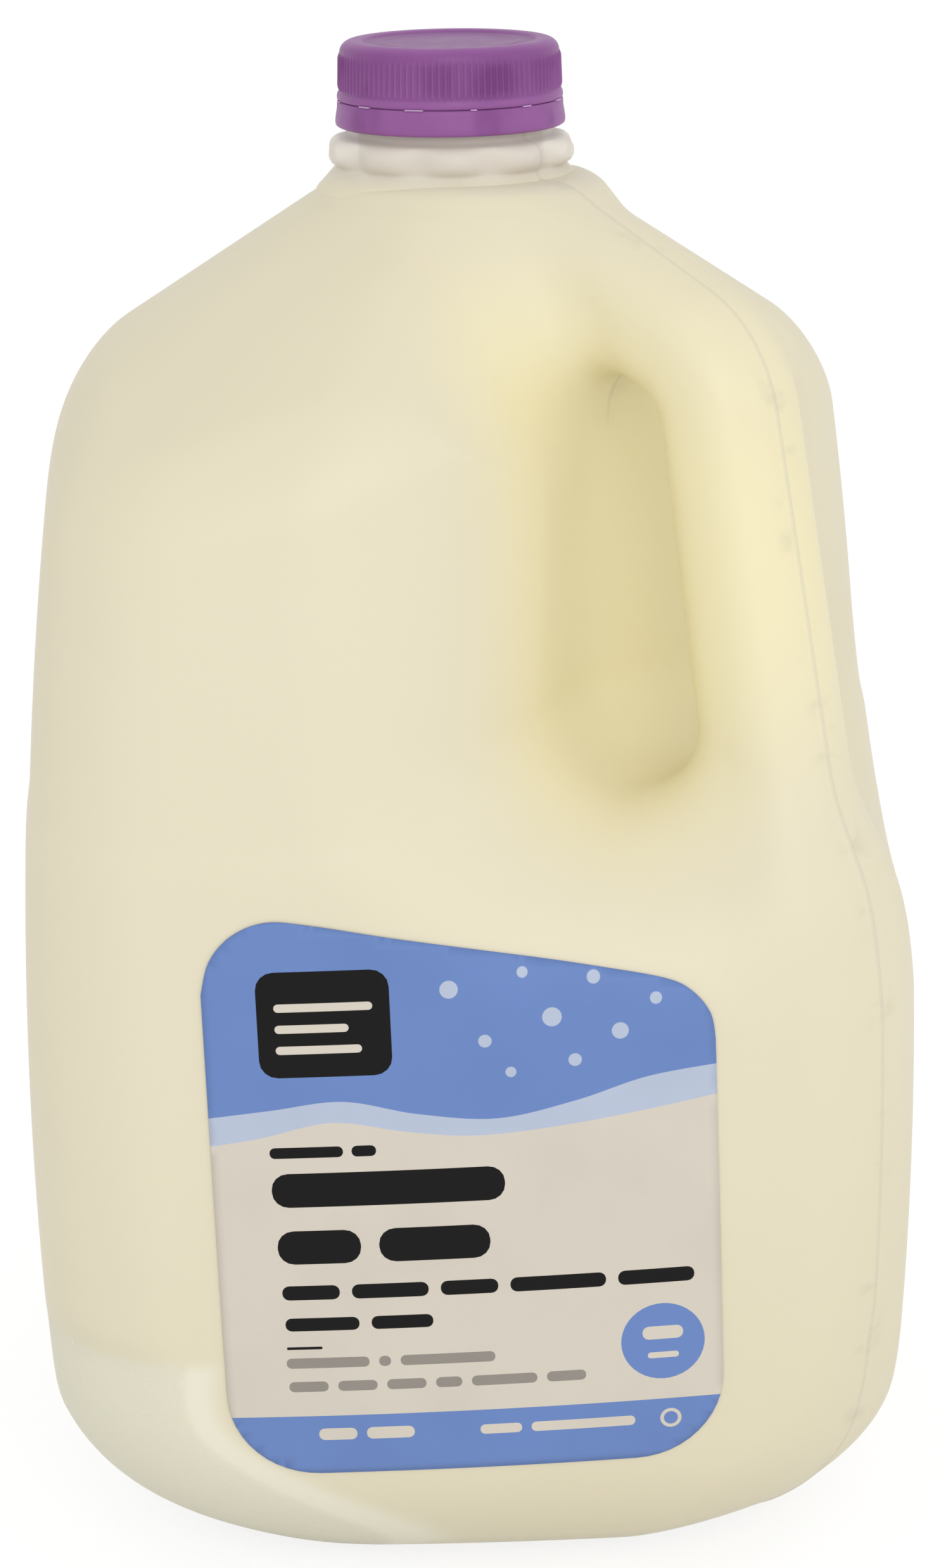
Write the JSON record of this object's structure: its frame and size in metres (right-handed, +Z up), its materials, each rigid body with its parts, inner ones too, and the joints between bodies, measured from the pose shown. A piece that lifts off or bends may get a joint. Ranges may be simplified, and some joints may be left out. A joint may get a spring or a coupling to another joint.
{
  "type": "plastic milk jug",
  "caption": "Square blow-moulded milk jug with a hollow corner handle, ribbed screw cap, tamper band and front label, filled with milk.",
  "frame": {"origin": "middle of the foot, on the surface the jug stands on", "axes": "+Z up through the cap, -Y towards the label, the handle in the +X -Y corner"},
  "size_m": [0.1528, 0.1531, 0.2533],
  "materials": {
    "jug_plastic": "satin translucent polyethylene",
    "milk": "smooth opaque liquid",
    "closure": "satin translucent coloured plastic",
    "label_film": "smooth printed film"
  },
  "bodies": {
    "root": {"jug": "jug_plastic", "milk": "milk", "cap": "closure", "tamper_band": "closure", "label": "label_film"}
  },
  "joints": []
}
